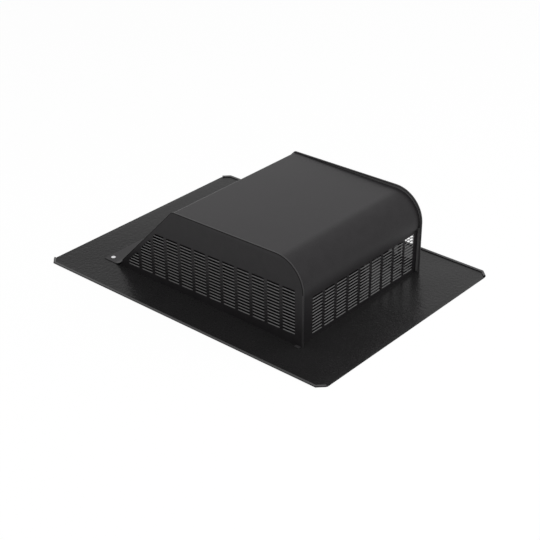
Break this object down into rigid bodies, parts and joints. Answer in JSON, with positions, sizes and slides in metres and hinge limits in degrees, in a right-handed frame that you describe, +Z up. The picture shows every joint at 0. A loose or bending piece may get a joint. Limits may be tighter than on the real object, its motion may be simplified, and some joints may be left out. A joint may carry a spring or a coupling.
{
  "type": "slant back roof vent",
  "caption": "Black sheet metal roof vent: a louvred hood with a slanted back stands over a collared round throat on a flat flange with curled side edges.",
  "frame": {"origin": "centre of the flange's underside", "axes": "+Z up out of the roof, +Y up the roof towards the slanted back, X across the vent"},
  "size_m": [0.385, 0.508, 0.126],
  "materials": {
    "black_paint": "semi-gloss with a fine texture",
    "bare_rivet": "bare"
  },
  "bodies": {
    "root": {"base_flange": "black_paint", "hood_top": "black_paint", "left_side_panel": "black_paint", "right_side_panel": "black_paint", "front_louvre_panel": "black_paint", "foot_rivets": "bare_rivet"}
  },
  "joints": []
}
